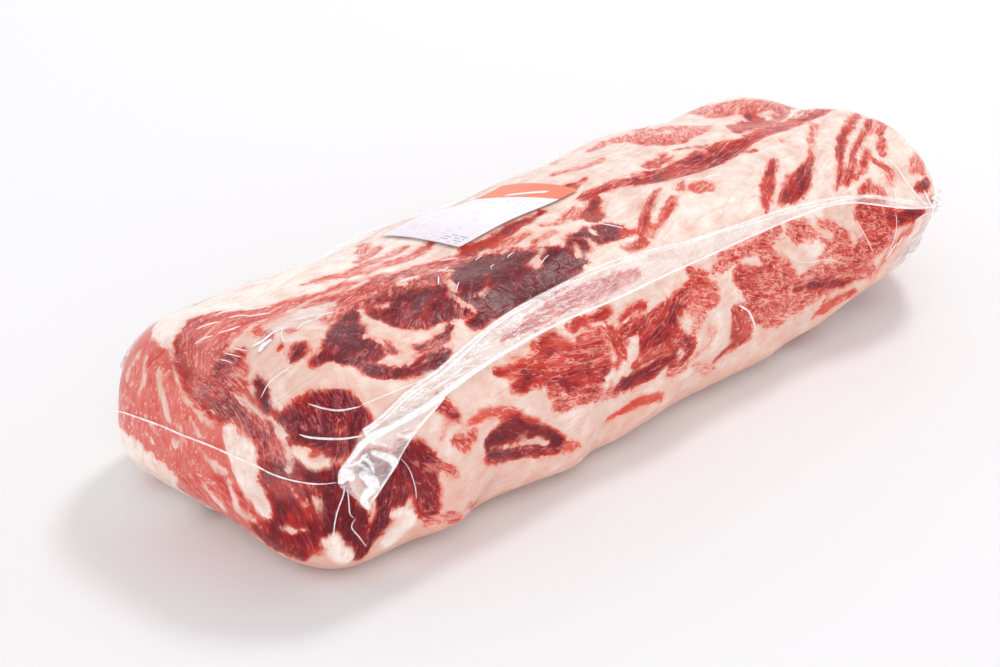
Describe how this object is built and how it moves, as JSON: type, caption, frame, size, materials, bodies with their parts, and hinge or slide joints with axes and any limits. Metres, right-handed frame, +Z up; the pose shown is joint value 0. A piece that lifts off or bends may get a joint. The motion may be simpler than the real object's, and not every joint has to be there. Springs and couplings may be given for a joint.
{
  "type": "raw beef rib roast",
  "caption": "Whole boneless raw beef rib roast, heavily marbled, in a tight clear shrink bag with folded corners, side pleats and a plain price label.",
  "frame": {"origin": "bottom centre of the box round the whole object, on the flat sole it rests on", "axes": "+X along the roast from its near end to its far end, +Z up, -Y towards the front side that shows the long pleat"},
  "size_m": [0.4358, 0.1726, 0.0908],
  "materials": {
    "meat": "raw marbled beef, coral to burgundy lean with cream fat, seen through tight glossy clear film",
    "film": "clear shrink film, doubled and wrinkled, milky where it is creased",
    "weld": "heat-sealed film seam, whitish",
    "label": "matt white adhesive label with an orange header band, no lettering"
  },
  "bodies": {
    "root": {"rib_roast": "meat", "label": "label", "bag_pleat_front": "film", "bag_pleat_back": "film", "bag_ear_near_front": "film", "bag_ear_near_back": "film", "bag_ear_far_front": "film", "bag_ear_far_back": "film", "bag_weld_near": "weld", "bag_weld_far": "weld"}
  },
  "joints": []
}
